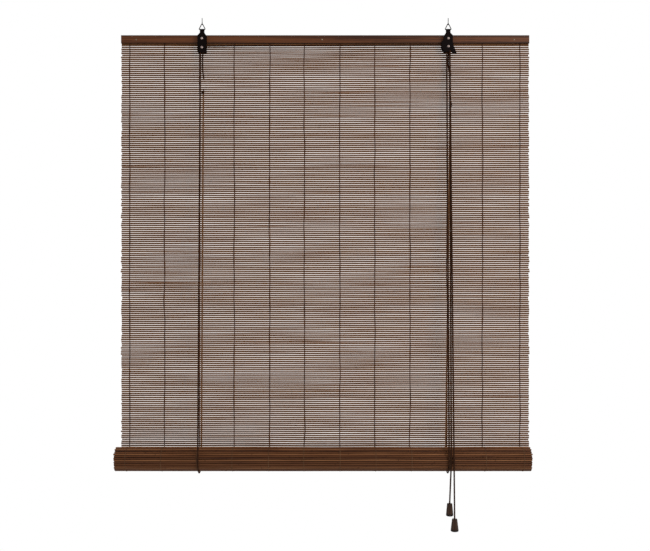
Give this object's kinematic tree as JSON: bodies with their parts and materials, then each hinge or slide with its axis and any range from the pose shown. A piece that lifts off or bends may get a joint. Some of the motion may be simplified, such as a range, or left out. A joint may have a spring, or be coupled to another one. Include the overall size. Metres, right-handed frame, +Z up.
{
  "type": "bamboo roll up blind",
  "caption": "Reed roll up blind, half raised, hung from wire hooks by riveted strap brackets with a cord lock, lift cords and tasselled pull cords.",
  "frame": {"origin": "midway between the two ceiling hooks' shanks, at the height where their straight shanks begin", "axes": "+X to the right seen from the front, -Y the front where the pull cords hang, +Z up along the hooks' shanks into the ceiling"},
  "size_m": [1.0108, 0.0803, 1.2445],
  "materials": {
    "wire": "dull",
    "bracket": "satin",
    "rivet": "satin",
    "nail": "dull",
    "roller": "matte",
    "pawl": "satin",
    "lath": "satin varnish",
    "reed": "satin stain",
    "dowel": "bare",
    "thread": "matte",
    "cord": "matte",
    "tassel": "satin varnish"
  },
  "bodies": {
    "hanger": {"left_hook": "wire", "right_hook": "wire", "left_ring": "wire", "right_ring": "wire"},
    "head": {"left_bracket": "bracket", "right_bracket": "bracket", "clamp_rivets": "rivet", "axle_rivets": "rivet", "lath_nails": "nail", "pawl_pin": "pawl", "front_lath": "lath", "back_lath": "lath", "mat": "reed", "warp_threads": "thread", "left_knot": "cord", "right_knot": "cord", "left_rear_cord": "cord", "right_rear_cord": "cord", "left_front_cord": "cord", "right_front_cord": "cord", "cross_cord": "cord", "roller_cord": "cord", "short_pull_upper": "cord", "long_pull_upper": "cord", "left_cord_tail": "cord", "right_cord_tail": "cord"},
    "left_roller": {"left_roller": "roller"},
    "right_roller": {"right_roller": "roller"},
    "lock_pawl": {"lock_pawl": "pawl"},
    "cradle": {"left_under_cord": "cord", "right_under_cord": "cord", "short_pull_lower": "cord", "long_pull_lower": "cord"},
    "roll": {"mat_roll": "reed", "roll_dowel": "dowel"},
    "short_tassel": {"short_tassel": "tassel", "short_end_knot": "cord"},
    "long_tassel": {"long_tassel": "tassel", "long_end_knot": "cord"}
  },
  "joints": [
    {"name": "head_swing", "type": "hinge", "parent": "hanger", "child": "head", "pos_m": [0, 0, -0.01946], "axis": [1, 0, 0], "range_deg": [-45, 45]},
    {"name": "roll_lift", "type": "slide", "parent": "head", "child": "cradle", "axis": [0, 0, 1], "range_m": [0, 0.82], "deforming": ["mat", "warp_threads", "left_front_cord", "right_front_cord", "short_pull_upper", "long_pull_upper", "left_rear_cord", "right_rear_cord"]},
    {"name": "roll_spin", "type": "hinge", "parent": "cradle", "child": "roll", "pos_m": [0, -0.0166, -1.06763], "axis": [1, 0, 0], "range_deg": [-1440, 0]},
    {"name": "short_tassel_drop", "type": "slide", "parent": "cradle", "child": "short_tassel", "axis": [0, 0, 1], "range_m": [-2.46, 0], "deforming": ["short_pull_lower"]},
    {"name": "long_tassel_drop", "type": "slide", "parent": "cradle", "child": "long_tassel", "axis": [0, 0, 1], "range_m": [-2.46, 0], "deforming": ["long_pull_lower"]},
    {"name": "left_roller_spin", "type": "hinge", "parent": "head", "child": "left_roller", "pos_m": [-0.3016, 0, -0.06376], "axis": [0, 1, 0], "range_deg": [0, 25400]},
    {"name": "right_roller_spin", "type": "hinge", "parent": "head", "child": "right_roller", "pos_m": [0.3016, 0, -0.06126], "axis": [0, 1, 0], "range_deg": [0, 25400]},
    {"name": "lock_release", "type": "hinge", "parent": "head", "child": "lock_pawl", "pos_m": [0.3086, 0, -0.04946], "axis": [0, -1, 0], "range_deg": [0, 25]}
  ],
  "couplings": [
    {"joint": "roll_spin", "follows": "roll_lift", "rad_per_m": -30.65},
    {"joint": "short_tassel_drop", "follows": "roll_lift", "ratio": -3},
    {"joint": "long_tassel_drop", "follows": "roll_lift", "ratio": -3},
    {"joint": "left_roller_spin", "follows": "roll_lift", "rad_per_m": 540.54},
    {"joint": "right_roller_spin", "follows": "roll_lift", "rad_per_m": 540.54}
  ]
}
